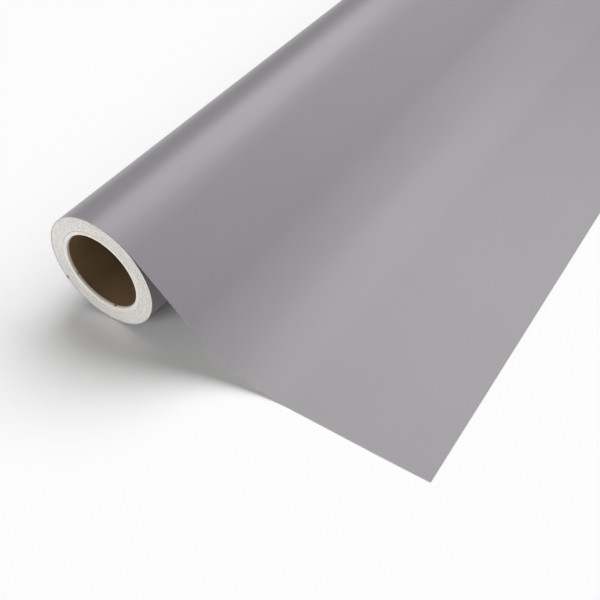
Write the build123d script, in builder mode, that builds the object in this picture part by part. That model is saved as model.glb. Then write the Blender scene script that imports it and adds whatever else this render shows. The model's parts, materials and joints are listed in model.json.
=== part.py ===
"""Backdrop paper roll: a cardboard core, the paper wound on it, and a leader drawn off onto the floor.

The origin is the centre of the core's bore. +X runs along the roll, +Z is up, and the leader comes off
over the top towards -Y. The roll and the leader both lie on the floor at z = -roll_radius.
"""

import os
from math import cos, radians, sin

from build123d import *

# Driving dimensions, in mm
roll_width = 1350.0
bore_radius = 27.0
liner_thickness = 1.0
wall_thickness = 1.5
outer_ply_thickness = 0.5
mouth_chamfer = 0.9
tape_thickness = 0.15
tape_length = 80.0
tape_spacing = 520.0
tape_arc = 70.0
roll_radius = 40.0
paper_thickness = 0.2
slip_gap = 0.3
takeoff_angle = 46.0
tuck_angle = 12.0
sweep_radius = 100.0
drape_end = 150.0
lift_line = 170.0
leader_reach = 226.0

# Radii of the layers, from the bore outwards
liner_radius = bore_radius + liner_thickness
wall_radius = liner_radius + wall_thickness
core_radius = wall_radius + outer_ply_thickness
paper_start_radius = core_radius + tape_thickness
turn_radius = roll_radius - paper_thickness
wound_radius = turn_radius - slip_gap

# The floor, and the direction in which the leader leaves the roll
floor_z = -roll_radius
takeoff_polar = 90 + takeoff_angle
out_y = -sin(radians(takeoff_angle))
out_z = cos(radians(takeoff_angle))

# The sweep's centre stands above the floor, level with the point where the leader comes to lie flat
sweep_z = floor_z + sweep_radius
sweep_y = (turn_radius + sweep_radius - sweep_z * out_z) / out_y


def ring(outer, inner):
    """The sketch of a ring about the roll's axis."""
    Circle(outer)
    Circle(inner, mode=Mode.SUBTRACT)


def ring_sector(outer, inner, start, size):
    """The sketch of a part of a ring, from a polar angle on, in degrees from +Y towards +Z."""
    with BuildLine() as outline:
        outside = CenterArc((0, 0), outer, start, size)
        inside = CenterArc((0, 0), inner, start, size)
        Line(outside @ 0, inside @ 0)
        Line(outside @ 1, inside @ 1)
    make_face(outline.edges())


def flat_stretch(near, far):
    """The sketch of a stretch of leader that lies on the floor, between two distances from the roll's axis."""
    with Locations((-(near + far) / 2, floor_z + paper_thickness / 2)):
        Rectangle(far - near, paper_thickness)


# Cardboard core: the ply that lines the bore, with its mouths eased
with BuildPart() as core_liner_ply:
    with BuildSketch(Plane.YZ):
        ring(liner_radius, bore_radius)
    extrude(amount=roll_width / 2, both=True)
    mouths = core_liner_ply.edges().filter_by(GeomType.CIRCLE).sort_by(SortBy.RADIUS)[:2]
    chamfer(mouths, length=mouth_chamfer)

# Cardboard core: the load-bearing plies
with BuildPart() as core_wall:
    with BuildSketch(Plane.YZ):
        ring(wall_radius, liner_radius)
    extrude(amount=roll_width / 2, both=True)

# Cardboard core: the smooth outer ply
with BuildPart() as core_outer_ply:
    with BuildSketch(Plane.YZ):
        ring(core_radius, wall_radius)
    extrude(amount=roll_width / 2, both=True)

# Tapes that hold the paper's inner end to the core, spaced along it
with BuildPart() as tail_tapes:
    for place in (-tape_spacing, 0, tape_spacing):
        with BuildSketch(Plane.YZ.offset(place)):
            ring_sector(paper_start_radius, core_radius, takeoff_polar, tape_arc)
        extrude(amount=tape_length / 2, both=True)

# The paper that stays wound on the core
with BuildPart() as wound_paper:
    with BuildSketch(Plane.YZ):
        ring(wound_radius, paper_start_radius)
    extrude(amount=roll_width / 2, both=True)

# The outermost turn, from the take-off back over the top and round to just under the leader
with BuildPart() as outer_turn:
    with BuildSketch(Plane.YZ):
        ring_sector(roll_radius, turn_radius, takeoff_polar, tuck_angle - 360)
    extrude(amount=roll_width / 2, both=True)

# The leader's drape: straight off the roll, through the sweep, and flat onto the floor
with BuildPart() as leader_drape:
    with BuildSketch(Plane.YZ):
        with BuildLine():
            for lift in (0, paper_thickness):
                leaves = (out_y * (turn_radius + lift), out_z * (turn_radius + lift))
                centre = (sweep_y, sweep_z)
                sweep = CenterArc(centre, sweep_radius - lift, takeoff_polar + 180, -takeoff_angle)
                Line(leaves, sweep @ 0)
                Line(sweep @ 1, (-drape_end, floor_z + lift))
            Line((out_y * turn_radius, out_z * turn_radius), (out_y * roll_radius, out_z * roll_radius))
            Line((-drape_end, floor_z), (-drape_end, floor_z + paper_thickness))
        make_face()
    extrude(amount=roll_width / 2, both=True)

# The stretch of leader that lies flat and is drawn out
with BuildPart() as leader_flat:
    with BuildSketch(Plane.YZ):
        flat_stretch(drape_end + slip_gap, lift_line - slip_gap)
    extrude(amount=roll_width / 2, both=True)

# The free end of the leader, which lifts about a line across the sheet
with BuildPart() as leader_end:
    with BuildSketch(Plane.YZ):
        flat_stretch(lift_line + slip_gap, leader_reach)
    extrude(amount=roll_width / 2, both=True)

core_liner_ply.part.label = "core_liner_ply"
core_wall.part.label = "core_wall"
core_outer_ply.part.label = "core_outer_ply"
tail_tapes.part.label = "tail_tapes"
wound_paper.part.label = "wound_paper"
outer_turn.part.label = "outer_turn"
leader_drape.part.label = "leader_drape"
leader_flat.part.label = "leader_flat"
leader_end.part.label = "leader_end"

os.makedirs("parts", exist_ok=True)
export_step(core_liner_ply.part, "parts/core_liner_ply.step")
export_step(core_wall.part, "parts/core_wall.step")
export_step(core_outer_ply.part, "parts/core_outer_ply.step")
export_step(tail_tapes.part, "parts/tail_tapes.step")
export_step(wound_paper.part, "parts/wound_paper.step")
export_step(outer_turn.part, "parts/outer_turn.step")
export_step(leader_drape.part, "parts/leader_drape.step")
export_step(leader_flat.part, "parts/leader_flat.step")
export_step(leader_end.part, "parts/leader_end.step")
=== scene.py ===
"""Looks of the backdrop paper roll: grey seamless paper wound on a cardboard core, with its leader drawn off.

Everything is in metres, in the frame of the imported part: +X runs along the roll, +Z is up, and the leader
comes off over the top towards -Y. A point of a section across the roll is (y, z), and its polar angle is
measured from +Y towards +Z.
"""

import json
from math import acos, ceil, cos, pi, radians, sin

import bpy
import numpy as np
from mathutils import Matrix, Vector


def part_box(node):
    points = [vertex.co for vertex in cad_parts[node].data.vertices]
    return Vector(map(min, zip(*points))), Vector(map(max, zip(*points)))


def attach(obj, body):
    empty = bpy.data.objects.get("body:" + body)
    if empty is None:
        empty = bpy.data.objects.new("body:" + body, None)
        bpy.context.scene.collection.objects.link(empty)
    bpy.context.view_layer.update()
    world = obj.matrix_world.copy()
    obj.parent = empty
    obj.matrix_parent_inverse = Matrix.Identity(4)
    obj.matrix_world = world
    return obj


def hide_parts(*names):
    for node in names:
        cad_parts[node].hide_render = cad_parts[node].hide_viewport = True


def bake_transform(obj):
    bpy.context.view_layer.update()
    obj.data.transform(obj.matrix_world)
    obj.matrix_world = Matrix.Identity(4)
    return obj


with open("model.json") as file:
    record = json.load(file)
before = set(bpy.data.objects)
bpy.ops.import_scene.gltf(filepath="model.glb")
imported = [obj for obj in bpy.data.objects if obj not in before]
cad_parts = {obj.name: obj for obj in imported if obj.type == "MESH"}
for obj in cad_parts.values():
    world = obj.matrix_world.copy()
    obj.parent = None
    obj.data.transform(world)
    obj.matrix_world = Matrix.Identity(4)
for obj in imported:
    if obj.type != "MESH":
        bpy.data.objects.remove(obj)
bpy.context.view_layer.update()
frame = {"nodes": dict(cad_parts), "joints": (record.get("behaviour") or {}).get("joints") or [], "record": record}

# ---------------------------------------------------------------- sizes, from the frame
MM = 0.001
mounts = {m["name"]: m for m in frame["record"]["mounts"]}
joints = {j["name"]: j for j in frame["joints"]}

# The floor's height, the paper's thickness, and the radii of the roll, which rests on the floor, of the bore
# and of the core's three plies
FLOOR = mounts["floor_rest"]["pos_m"][2]
PAPER = mounts["shooting_surface"]["pos_m"][2] - FLOOR
ROLL = -FLOOR
BORE = mounts["core_bore"]["dims"]["r_mm"] * MM
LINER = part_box("core_liner_ply")[1].z
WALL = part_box("core_wall")[1].z
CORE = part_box("core_outer_ply")[1].z

# The X of the roll's ends, and the Y of the line where the leader is lifted and of its free end
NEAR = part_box("wound_paper")[0].x
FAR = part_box("wound_paper")[1].x
LIFT_LINE = joints["end_lift"]["pos_m"][1]
FREE_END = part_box("leader_end")[0].y

# How far past the top the sheet leaves the roll, and the radius of its bend down to the floor
TAKEOFF = acos(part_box("leader_drape")[1].z / ROLL)
SWEEP = 100 * MM

# The sheet leaves the roll at the polar angle LEAVE, and its straight stretch touches both the roll and the
# bend, whose centre is at (sweep_y, sweep_z)
LEAVE = pi / 2 + TAKEOFF
sweep_z = FLOOR + SWEEP
sweep_y = -(ROLL - PAPER + SWEEP - sweep_z * cos(TAKEOFF)) / sin(TAKEOFF)

# The two pieces of the leader meet at SEAM, just past the line where the leader is lifted.
SEAM = LIFT_LINE + 8 * MM


# ---------------------------------------------------------------- mesh helpers
SHARP_ANGLE = radians(40)
TUBE_SEGMENTS = 160

# The places of a sheet's materials
FACE, BACK, EDGE, STACKED_EDGE = range(4)


def finish_mesh(name, points, faces, materials, slots):
    """A mesh object from points, quads and the material index of each quad, smooth but for its cut edges."""
    mesh = bpy.data.meshes.new(name)
    mesh.from_pydata([tuple(p) for p in points], [], [tuple(int(i) for i in f) for f in faces])
    for material in materials:
        mesh.materials.append(material)
    mesh.polygons.foreach_set("material_index", np.array(slots, np.int32))
    mesh.polygons.foreach_set("use_smooth", np.ones(len(faces), bool))
    mesh.set_sharp_from_angle(angle=SHARP_ANGLE)
    mesh.update()
    piece = bpy.data.objects.new(name, mesh)
    bpy.context.scene.collection.objects.link(piece)
    return piece


def grid_quads(rows, columns, first, row_step, column_step, flip=False):
    """The quads of a grid of points, given its first index and the steps in index along each way."""
    r, c = np.meshgrid(np.arange(rows - 1), np.arange(columns - 1), indexing="ij")
    a = (first + r * row_step + c * column_step).ravel()
    quads = np.stack([a, a + column_step, a + column_step + row_step, a + row_step], 1)
    return quads[:, ::-1] if flip else quads


def sheet_mesh(name, section, columns, thickness, materials, proud=None, stacked=0):
    """A closed sheet that is swept along X.

    section is rows of (y, z, polar angle of the face's normal), and columns the X places across each row.
    thickness is the sheet's, at each row or everywhere, and proud(x, row) how far the face stands off along
    its normal. materials are the face's, the back's and the cut edges', and then that of the long edges of
    the first rows, as many as are stacked on a roll.
    """
    section = np.array(section, float)
    rows, n = columns.shape
    normal = np.stack([np.cos(section[:, 2]), np.sin(section[:, 2])], 1)
    depth = normal * np.broadcast_to(thickness, rows)[:, None]
    points = np.zeros((2, rows, n, 3))
    for side in (0, 1):
        points[side, :, :, 0] = columns
        points[side, :, :, 1:] = (section[:, :2] - depth * side)[:, None]
    if proud is not None:
        offset = proud(columns, np.arange(rows)[:, None])
        points[:, :, :, 1:] += offset[None, :, :, None] * normal[None, :, None]
    layer = rows * n
    long_edge = np.where(np.arange(rows - 1) < stacked - 1, STACKED_EDGE, EDGE)
    parts = [
        (grid_quads(rows, n, 0, n, 1, flip=True), FACE),
        (grid_quads(rows, n, layer, n, 1), BACK),
        (grid_quads(rows, 2, 0, n, layer), long_edge),
        (grid_quads(rows, 2, n - 1, n, layer, flip=True), long_edge),
        (grid_quads(2, n, 0, layer, 1), EDGE),
        (grid_quads(2, n, (rows - 1) * n, layer, 1, flip=True), EDGE),
    ]
    faces = np.concatenate([quads for quads, _ in parts])
    slots = np.concatenate([np.broadcast_to(slot, len(quads)) for quads, slot in parts])
    return finish_mesh(name, points.reshape(-1, 3), faces, materials, slots)


def tube_mesh(name, rings, materials, slots):
    """A closed tube about the roll's axis. rings is the outline (x, radius) of its wall, in order, and slots
    the material index of the wall from each ring to the next."""
    angles = np.arange(TUBE_SEGMENTS) * 2 * pi / TUBE_SEGMENTS
    around = np.stack([np.cos(angles), np.sin(angles)], 1)
    points = np.zeros((len(rings), TUBE_SEGMENTS, 3))
    for k, (x, radius) in enumerate(rings):
        points[k, :, 0] = x
        points[k, :, 1:] = around * radius
    faces, marks = [], []
    for k in range(len(rings)):
        a = k * TUBE_SEGMENTS + np.arange(TUBE_SEGMENTS)
        b = k * TUBE_SEGMENTS + (np.arange(TUBE_SEGMENTS) + 1) % TUBE_SEGMENTS
        to_next = ((k + 1) % len(rings) - k) * TUBE_SEGMENTS
        faces.append(np.stack([a, a + to_next, b + to_next, b], 1))
        marks.append(np.full(TUBE_SEGMENTS, slots[k]))
    return finish_mesh(name, points.reshape(-1, 3), np.concatenate(faces), materials, np.concatenate(marks))


def waves(seed, count, longest):
    """A smooth random function of one number, from so many waves no longer than longest, about -1 to 1."""
    random = np.random.default_rng(seed)
    length = longest / (1 + np.arange(count) + random.uniform(0, 1, count))
    phase = random.uniform(0, 2 * pi, count)
    size = random.uniform(0.5, 1, count) / (1 + 0.5 * np.arange(count))
    size = size / size.sum()

    def value(x):
        return sum(s * np.sin(2 * pi * x / w + p) for s, w, p in zip(size, length, phase))

    return value


# ---------------------------------------------------------------- materials
# The scales of each surface's noise, for a metre along X, Y and Z
PAPER_CLOUDS = (14, 20, 20)
PAPER_FELT = (900, 1300, 1300)
CUT_FIBRES = (850, 850, 850)
KRAFT_CLOUDS = (30, 60, 60)
KRAFT_FIBRES = (300, 900, 900)
SMUDGE_GRAIN = (1600, 1600, 1600)

# The scales of the grain round the axis, for a metre of radius and for a radian round
CUT_STREAKS = (2600, 2.5)
CUT_BUMPS = (3200, 30)

DIRT = (0.06, 0.05, 0.045)


def new_material(name, color, roughness, specular):
    """A material, its node tree and its Principled shader."""
    material = bpy.data.materials.new(name)
    material.use_nodes = True
    tree = material.node_tree
    shader = tree.nodes["Principled BSDF"]
    shader.inputs["Base Color"].default_value = (*color, 1)
    shader.inputs["Roughness"].default_value = roughness
    shader.inputs["Specular IOR Level"].default_value = specular
    return material, tree, shader


def node(tree, kind, **values):
    """A node, with its properties set by name."""
    made = tree.nodes.new(kind)
    for key, value in values.items():
        setattr(made, key, value)
    return made


def noise(tree, vector, detail, roughness=0.55):
    """Smooth noise at the coordinates' own scale, from 0 to 1."""
    made = node(tree, "ShaderNodeTexNoise")
    made.inputs["Scale"].default_value = 1
    made.inputs["Detail"].default_value = detail
    made.inputs["Roughness"].default_value = roughness
    tree.links.new(vector, made.inputs["Vector"])
    return made.outputs["Fac"]


def ramp(tree, factor, stops):
    """A colour ramp from (place, colour) stops."""
    made = node(tree, "ShaderNodeValToRGB")
    elements = made.color_ramp.elements
    for element, (place, color) in zip(elements, stops[:2]):
        element.position = place
        element.color = (*color, 1)
    for place, color in stops[2:]:
        elements.new(place).color = (*color, 1)
    tree.links.new(factor, made.inputs["Fac"])
    return made.outputs["Color"]


def bump(tree, shader, height, strength, distance):
    """A bump on the shader's surface, from a height of 0 to 1."""
    made = node(tree, "ShaderNodeBump")
    made.inputs["Strength"].default_value = strength
    made.inputs["Distance"].default_value = distance
    tree.links.new(height, made.inputs["Height"])
    tree.links.new(made.outputs["Normal"], shader.inputs["Normal"])


def own_coordinates(tree):
    return node(tree, "ShaderNodeTexCoord").outputs["Object"]


def stretched(tree, scale):
    """The object's coordinates, scaled apart along X, Y and Z."""
    mapping = node(tree, "ShaderNodeMapping")
    mapping.inputs["Scale"].default_value = scale
    tree.links.new(own_coordinates(tree), mapping.inputs["Vector"])
    return mapping.outputs["Vector"]


def times(color, share):
    """A colour, made darker or lighter."""
    return tuple(c * share for c in color)


def math_node(tree, operation, first, second=None):
    """A math node's output; either input is a socket or a number."""
    made = node(tree, "ShaderNodeMath", operation=operation)
    for socket, value in zip(made.inputs, (first, second)):
        if isinstance(value, (int, float)):
            socket.default_value = value
        elif value is not None:
            tree.links.new(value, socket)
    return made.outputs[0]


def blended(tree, factor, first, second, blend="MIX"):
    """Two colours, mixed by a factor; the colours and the factor are sockets or plain values."""
    made = node(tree, "ShaderNodeMix", data_type="RGBA", blend_type=blend)
    # A Mix node has its factor at 0, its two colours at 6 and 7, and the mixed colour at 2
    for socket, value in ((made.inputs[0], factor), (made.inputs[6], first), (made.inputs[7], second)):
        if isinstance(value, tuple):
            socket.default_value = (*value, 1)
        elif isinstance(value, (int, float)):
            socket.default_value = value
        else:
            tree.links.new(value, socket)
    return made.outputs[2]


def mottled(tree, color, spread, scale):
    """A colour with a faint cloudy mottle."""
    clouds = noise(tree, stretched(tree, scale), 4)
    return ramp(tree, clouds, [(0.3, times(color, 1 - spread)), (0.7, times(color, 1 + spread))])


def felt_surface(tree, shader):
    """The fine felt of paper fibres, a little longer along the roll."""
    felt = noise(tree, stretched(tree, PAPER_FELT), 4, 0.65)
    bump(tree, shader, felt, 0.2, 0.07 * MM)


def around_the_axis(tree, per_radius, per_radian):
    """Coordinates for a grain round the roll's axis: X runs with the radius, Y and Z with the way round."""
    across = stretched(tree, (0, 1, 1))
    length = node(tree, "ShaderNodeVectorMath", operation="LENGTH")
    tree.links.new(across, length.inputs[0])
    heading = node(tree, "ShaderNodeVectorMath", operation="NORMALIZE")
    tree.links.new(across, heading.inputs[0])
    scaled = node(tree, "ShaderNodeVectorMath", operation="SCALE")
    tree.links.new(heading.outputs["Vector"], scaled.inputs[0])
    scaled.inputs["Scale"].default_value = per_radian
    parts = node(tree, "ShaderNodeSeparateXYZ")
    tree.links.new(scaled.outputs["Vector"], parts.inputs[0])
    joined = node(tree, "ShaderNodeCombineXYZ")
    tree.links.new(math_node(tree, "MULTIPLY", length.outputs["Value"], per_radius), joined.inputs["X"])
    tree.links.new(parts.outputs["Y"], joined.inputs["Y"])
    tree.links.new(parts.outputs["Z"], joined.inputs["Z"])
    return joined.outputs["Vector"]


def smudge(tree, color, point, radius, share):
    """The colour, darkened in a ragged spot about a point."""
    distance = node(tree, "ShaderNodeVectorMath", operation="DISTANCE")
    tree.links.new(own_coordinates(tree), distance.inputs[0])
    distance.inputs[1].default_value = point
    ragged = noise(tree, stretched(tree, SMUDGE_GRAIN), 2)
    edge = math_node(tree, "MULTIPLY", math_node(tree, "ADD", ragged, 0.5), radius)
    spot = math_node(tree, "DIVIDE", distance.outputs["Value"], edge)
    mask = ramp(tree, spot, [(0.55, (share, share, share)), (1.0, (0, 0, 0))])
    return blended(tree, mask, color, DIRT)


def marked(tree, color, marks):
    """The colour with its handling marks, each a point, a radius and how dark it is."""
    for point, radius, share in marks:
        color = smudge(tree, color, point, radius, share)
    return color


def paper_material(name, color, spread, roughness, specular=0.3, marks=()):
    """Plain paper: a faint mottle under a felt surface, and any handling marks."""
    material, tree, shader = new_material(name, color, roughness, specular)
    finish = marked(tree, mottled(tree, color, spread, PAPER_CLOUDS), marks)
    tree.links.new(finish, shader.inputs["Base Color"])
    felt_surface(tree, shader)
    return material


def cut_edge_material(name, color, spread, streak, marks=()):
    """Stacked cut edges of paper or board: streaks round the axis that vary the colour by the share streak,
    fine fibres that darken it by the share spread, and any handling marks."""
    material, tree, shader = new_material(name, color, 0.85, 0.25)
    streaks = noise(tree, around_the_axis(tree, *CUT_STREAKS), 3, 0.6)
    rings = ramp(tree, streaks, [(0.3, times(color, 1 - streak)), (0.7, times(color, 1 + streak))])
    fibres = noise(tree, stretched(tree, CUT_FIBRES), 4, 0.65)
    shade = ramp(tree, fibres, [(0.38, (1 - spread,) * 3), (0.62, (1, 1, 1))])
    finish = marked(tree, blended(tree, 1.0, rings, shade, "MULTIPLY"), marks)
    tree.links.new(finish, shader.inputs["Base Color"])
    rough = noise(tree, around_the_axis(tree, *CUT_BUMPS), 3)
    bump(tree, shader, rough, 0.2, 0.1 * MM)
    return material


def liner_material(name, color, strip):
    """Brown kraft inside the core: cloudy, with a darker helical seam. strip is how far apart along the core
    the seam's turns are."""
    material, tree, shader = new_material(name, color, 0.6, 0.35)
    parts = node(tree, "ShaderNodeSeparateXYZ")
    tree.links.new(own_coordinates(tree), parts.inputs[0])
    angle = math_node(tree, "ARCTAN2", parts.outputs["Z"], parts.outputs["Y"])
    turn = math_node(tree, "DIVIDE", angle, 2 * pi)
    wound = math_node(tree, "ADD", math_node(tree, "DIVIDE", parts.outputs["X"], strip), turn)
    seam = math_node(tree, "PINGPONG", wound, 0.5)
    line = ramp(tree, seam, [(0.003, (0.45, 0.45, 0.45)), (0.009, (1, 1, 1))])
    clouds = mottled(tree, color, 0.16, KRAFT_CLOUDS)
    tree.links.new(blended(tree, 1.0, clouds, line, "MULTIPLY"), shader.inputs["Base Color"])
    fibres = noise(tree, stretched(tree, KRAFT_FIBRES), 4)
    bump(tree, shader, blended(tree, 1.0, fibres, line, "MULTIPLY"), 0.4, 0.25 * MM)
    return material


def near_mark(radius, polar, inwards, size, share):
    """A handling mark at the near end, by its radius from the axis, its polar angle in degrees, its distance
    inwards, its own radius and how dark it is."""
    point = (NEAR + inwards, radius * cos(radians(polar)), radius * sin(radians(polar)))
    return (point, size, share)


rim_marks = [near_mark(ROLL - 0.3 * MM, -31.4, 0, 2.0 * MM, 0.95)]
bore_marks = [
    near_mark(BORE, -30, 1.2 * MM, 1.0 * MM, 0.5),
    near_mark(BORE, -100, 1.2 * MM, 1.5 * MM, 0.7),
]

GREY = (0.252, 0.2365, 0.257)
WHITE = (0.75, 0.73, 0.695)
BOARD = (0.77, 0.75, 0.70)
# The cut board at the bore's mouth, painted paler than it is: painted light falling into the mouth
PAINTED_LIGHT_BOARD = (0.82, 0.77, 0.69)
KRAFT = (0.242, 0.158, 0.083)
TAPE = (0.62, 0.52, 0.36)
STRIP = 120 * MM

grey_face = paper_material("paper_grey_face", GREY, 0.015, 0.36, 0.48, rim_marks)
white_paper = paper_material("paper_white", WHITE, 0.03, 0.8)
paper_edges = cut_edge_material("paper_cut_edges", times(WHITE, 1.09), 0.2, 0.07, rim_marks)
# The leader's cut edges: the same paper's cut edge, painted darker than at the roll's ends as painted shade
shaded_leader_edges = cut_edge_material("leader_cut_edges_painted_shade", times(WHITE, 0.6), 0.05, 0.05)
core_board = cut_edge_material("core_board", BOARD, 0.2, 0.06, bore_marks)
# The bore's rounded mouth, in the pale board colour above: partly the cut board, partly painted light
mouth_board_painted_light = cut_edge_material("mouth_board_painted_light", PAINTED_LIGHT_BOARD, 0.08, 0.06, bore_marks)
kraft_liner = liner_material("kraft_liner", KRAFT, STRIP)
tape = paper_material("paper_tape", TAPE, 0.05, 0.5)


# ---------------------------------------------------------------- the cardboard core
def ply(name, inner, outer, node_name, materials, mouth=((0, 0),)):
    """One ply of the core. mouth is the outline of its inner edge at each end, as (distance inwards, how far
    it stands back from the bore). The first material takes over past its last point."""
    near = [(NEAR + x, inner + back) for x, back in mouth]
    far = [(FAR - x, inner + back) for x, back in reversed(mouth)]
    rings = near + far + [(FAR, outer), (NEAR, outer)]
    slots = [1] * (len(near) - 1) + [0] + [1] * len(far) + [0, 1]
    piece = tube_mesh(name, rings, materials, slots)
    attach(piece, "roll")
    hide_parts(node_name)


# The liner's mouth is rounded over by use, by LIP off the bore and over the depth set below inwards. The rounding
# shows the cut board, painted paler than it is: painted light falling into the mouth.
LIP = 0.8 * MM
LIP_DEPTH = 1.9 * MM
MOUTH_POINTS = 7
mouth = [(LIP_DEPTH * (1 - cos(turn)), LIP * (1 - sin(turn))) for turn in np.linspace(0, pi / 2, MOUTH_POINTS)]
ply("core_liner", BORE, LINER, "core_liner_ply", [kraft_liner, mouth_board_painted_light], mouth)
ply("core_board_plies", LINER, WALL, "core_wall", [core_board, core_board])
ply("core_smooth_ply", WALL, CORE, "core_outer_ply", [core_board, core_board])

frame["nodes"]["tail_tapes"].data.materials.clear()
frame["nodes"]["tail_tapes"].data.materials.append(tape)

# ---------------------------------------------------------------- the wound paper, one spiral sheet
# The turns lie one PAPER apart, and each is a little thinner, so that dark lines part them. The outermost are
# looser than the rest, and the whole clears the core and the wrap.
WEB = 0.86 * PAPER
LOOSE_TURNS = 3
LOOSE_GAP = 0.05 * MM
CORE_CLEARANCE = 0.06 * MM
WRAP_CLEARANCE = 0.08 * MM
TUCKED = radians(3)
TURN_SEGMENTS = 120
pack_inner = CORE + CORE_CLEARANCE
pack_outer = ROLL - PAPER - WRAP_CLEARANCE
turns = (pack_outer - WEB - pack_inner - LOOSE_TURNS * LOOSE_GAP) / PAPER

# How far the turns' edges are set in from the roll's ends: all of them by EDGE_INSET, give or take a slow and
# a quick wander over so many turns, and the last STEPPED_TURNS by one more STEP. STEP_RATE is its steepness.
EDGE_INSET = 0.12 * MM
SLOW_WANDER = 0.16 * MM
SLOW_TURNS = 22
QUICK_WANDER = 0.10 * MM
QUICK_TURNS = 5
STEPPED_TURNS = 9
STEP = 0.05 * MM
STEP_RATE = 4


def edge_inset(turn, seed):
    """How far the spiral's edge is set in from the roll's end, at each turn."""
    slow = waves(seed, count=30, longest=SLOW_TURNS)(turn) * SLOW_WANDER
    quick = waves(seed + 1, count=60, longest=QUICK_TURNS)(turn) * QUICK_WANDER
    step = STEP / (1 + np.exp((turns - STEPPED_TURNS - turn) * STEP_RATE))
    return EDGE_INSET + slow + quick + step


def wound_sheet():
    """The paper on the core, wound as one closed spiral sheet whose turns end a little unevenly. Its outer
    end is tucked under the wrap, just past the take-off."""
    count = int(turns * TURN_SEGMENTS)
    turn = np.arange(count + 1) / TURN_SEGMENTS
    angle = LEAVE + TUCKED + 2 * pi * (turn - turn[-1])
    radius = pack_inner + PAPER * turn + LOOSE_GAP * np.clip(turn - (turns - LOOSE_TURNS), 0, None)
    around = np.stack([np.cos(angle), np.sin(angle)], 1)
    points = np.zeros((count + 1, 2, 2, 3))
    # Each end has its X, its way in and the seed of its wander
    for end, (x, way, seed) in enumerate(((NEAR, 1, 3), (FAR, -1, 8))):
        points[:, :, end, 0] = (x + way * edge_inset(turn, seed))[:, None]
    for side in (0, 1):
        points[:, side, :, 1:] = (around * (radius + WEB * side)[:, None])[:, None]
    # The points are numbered by turn, by side and by end, in steps of 4, 2 and 1
    faces = [
        grid_quads(count + 1, 2, 2, 4, 1, flip=True),
        grid_quads(count + 1, 2, 0, 4, 1),
        grid_quads(count + 1, 2, 0, 4, 2, flip=True),
        grid_quads(count + 1, 2, 1, 4, 2),
        grid_quads(2, 2, 0, 2, 1, flip=True),
        grid_quads(2, 2, 4 * count, 2, 1),
    ]
    slots = np.concatenate([np.full(len(f), 0 if k == 0 else 1) for k, f in enumerate(faces)])
    web = [grey_face, paper_edges]
    piece = finish_mesh("wound_sheet", points.reshape(-1, 3), np.concatenate(faces), web, slots)
    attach(piece, "roll")
    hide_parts("wound_paper")


wound_sheet()

# ---------------------------------------------------------------- the outermost turn and the leader
# The wrap starts one turn before the take-off, but for NIP, with the share PARED of its thickness pared off
NIP = radians(1.2)
PARED = 0.96

# The mesh's rows and columns: how many, and how far apart where the leader is flat
WRAP_ROWS = 150
STRAIGHT_ROWS = 12
BEND_ROWS = 40
SHEET_STEP = 2 * MM
END_STEP = 1.5 * MM
COLUMNS = 55


def wrap_rows():
    """Round the roll as a spiral, from the nip under the leader to the take-off. The back keeps one radius,
    to clear the turning roll, so the sheet starts pared thin."""
    for share in np.linspace(0, 1, WRAP_ROWS):
        angle = LEAVE - (2 * pi - NIP) * (1 - share)
        radius = ROLL - PAPER * PARED * (1 - share)
        yield (radius * cos(angle), radius * sin(angle), angle)


def drape_rows():
    """Straight off the roll, then round the bend until the sheet is flat."""
    first = np.array([ROLL * cos(LEAVE), ROLL * sin(LEAVE)])
    hollow = SWEEP - PAPER
    last = np.array([sweep_y - hollow * cos(LEAVE), sweep_z - hollow * sin(LEAVE)])
    for share in np.linspace(0, 1, STRAIGHT_ROWS)[1:]:
        y, z = first + (last - first) * share
        yield (y, z, LEAVE)
    for angle in np.linspace(LEAVE, pi / 2, BEND_ROWS)[1:]:
        yield (sweep_y - hollow * cos(angle), sweep_z - hollow * sin(angle), angle)


def flat_rows(start, stop, step):
    """Flat on the floor from one y to another, the start left out."""
    for y in np.linspace(start, stop, ceil(abs(stop - start) / step) + 1)[1:]:
        yield (y, FLOOR + PAPER, pi / 2)


wrap = list(wrap_rows())
drape = list(drape_rows())
first_rows = wrap + drape + list(flat_rows(sweep_y, SEAM, SHEET_STEP))
second_rows = [(SEAM, FLOOR + PAPER, pi / 2)] + list(flat_rows(SEAM, FREE_END, END_STEP))

# The drape's long slow waves: how high they are, and their longest length
FALL = 0.25 * MM
FALL_LENGTH = 0.9
fall = waves(seed=21, count=5, longest=FALL_LENGTH)

# The paper was drawn off a hair askew: how far its edges are shifted along the roll, by the distance from the
# take-off
SHIFT = 0.8 * MM
SHIFT_PLACES = (-50 * MM, 0, 120 * MM, 190 * MM)


def distances(rows, start=0.0):
    """The distance of each row along the sheet."""
    steps = np.linalg.norm(np.diff(np.array(rows)[:, :2], axis=0), axis=1)
    return start + np.concatenate([[0], np.cumsum(steps)])


def places_across(along):
    """The X places across the sheet, for rows at these distances from the take-off."""
    shift = np.interp(along, SHIFT_PLACES, (0, SHIFT, SHIFT, 0))
    return np.linspace(NEAR, FAR, COLUMNS)[None, :] + shift[:, None]


def drape_proud(x, row):
    """The drape stands off its true curve by a hair, in waves that die out at the roll and the floor."""
    share = np.clip((row - len(wrap)) / len(drape), 0, 1)
    return fall(x) * FALL * np.sin(pi * share) ** 2


first_along = distances(first_rows)
first_along = first_along - first_along[len(wrap) - 1]
second_along = distances(second_rows, first_along[-1])
loose_web = [grey_face, white_paper, shaded_leader_edges]


def leader_sheet():
    """The outermost turn, the drape and the flat stretch, as one sheet up to the seam."""
    thickness = np.interp(first_along, (first_along[0], 0), (PAPER * (1 - PARED), PAPER))
    across = places_across(first_along)
    web = loose_web + [paper_edges]
    leader = sheet_mesh("leader_sheet", first_rows, across, thickness, web, drape_proud, len(wrap))
    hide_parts("outer_turn", "leader_drape", "leader_flat")
    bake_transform(leader)


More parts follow.
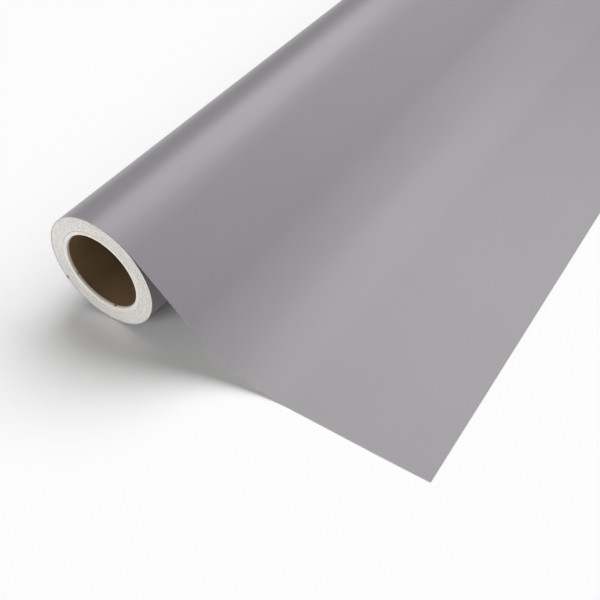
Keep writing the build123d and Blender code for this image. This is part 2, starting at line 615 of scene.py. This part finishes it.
def leader_free_end():
    """The last stretch of the leader, from the seam to the free end."""
    end_sheet = sheet_mesh("leader_free_end", second_rows, places_across(second_along), PAPER, loose_web)
    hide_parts("leader_end")
    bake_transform(end_sheet)


leader_sheet()
leader_free_end()

# ---------------------------------------------------------------- floor, light and camera
FLOOR_REACH = 30
FLOOR_GAP = 0.2 * MM
SOFTBOX_ANGLE = radians(45)
SURROUND_LIGHT = 0.15


def floor():
    """A pale floor, a hair below the paper, that reaches further than the camera sees."""
    mesh = bpy.data.meshes.new("studio_floor")
    corners = ((-1, -1), (1, -1), (1, 1), (-1, 1))
    points = [(x * FLOOR_REACH, y * FLOOR_REACH, FLOOR - FLOOR_GAP) for x, y in corners]
    mesh.from_pydata(points, [], [(0, 1, 2, 3)])
    made = bpy.data.objects.new("studio_floor", mesh)
    bpy.context.scene.collection.objects.link(made)
    material, _, _ = new_material("studio_floor", (0.95, 0.95, 0.95), 0.9, 0.1)
    mesh.materials.append(material)


def softbox(name, heading, height, strength):
    """Soft light from afar, from a heading (degrees from +X towards +Y) and a height above the floor."""
    data = bpy.data.lights.new(name, "SUN")
    data.angle = SOFTBOX_ANGLE
    data.energy = strength
    made = bpy.data.objects.new(name, data)
    towards = Vector((cos(radians(heading)), sin(radians(heading)), 0)) * cos(radians(height))
    towards.z = sin(radians(height))
    made.rotation_euler = (-towards).to_track_quat("-Z", "Y").to_euler()
    bpy.context.scene.collection.objects.link(made)


def surround():
    """A white surround that lights the object only a little."""
    world = bpy.data.worlds.new("studio")
    world.use_nodes = True
    tree = world.node_tree
    background = tree.nodes["Background"]
    background.inputs["Color"].default_value = (1, 1, 1, 1)
    path = node(tree, "ShaderNodeLightPath")
    strength = math_node(tree, "MAXIMUM", path.outputs["Is Camera Ray"], SURROUND_LIGHT)
    tree.links.new(strength, background.inputs["Strength"])
    bpy.context.scene.world = world


floor()
softbox("key_light", 15, 54, 1.9)
softbox("front_light", -33, 35, 1.25)
softbox("end_fill_light", 170, 12, 2.25)
surround()

# The camera looks down on the near end and along the roll, a little tilted. Its lens and sensor are in mm.
CAMERA_FROM_END = Vector((-0.2412, -0.3101, 0.3520))
CAMERA_HEADING = radians(34.365)
CAMERA_DOWN = radians(45.486)
CAMERA_TILT = radians(1.701)
LENS = 51
SENSOR = 36


def camera():
    """The camera, turned by its right, up and backward directions."""
    data = bpy.data.cameras.new("camera")
    data.sensor_width = SENSOR
    data.lens = LENS
    data.clip_start = 0.01
    made = bpy.data.objects.new("camera", data)
    flat = Vector((cos(CAMERA_HEADING), sin(CAMERA_HEADING), 0))
    forward = flat * cos(CAMERA_DOWN) - Vector((0, 0, sin(CAMERA_DOWN)))
    level = Vector((sin(CAMERA_HEADING), -cos(CAMERA_HEADING), 0))
    down = forward.cross(level)
    right = level * cos(CAMERA_TILT) + down * sin(CAMERA_TILT)
    up = right.cross(forward)
    turn = Matrix((right, up, -forward)).transposed()
    place = Vector((NEAR, 0, 0)) + CAMERA_FROM_END
    made.matrix_world = Matrix.Translation(place) @ turn.to_4x4()
    bpy.context.scene.collection.objects.link(made)
    bpy.context.scene.camera = made


camera()
bpy.context.scene.view_settings.view_transform = "Standard"
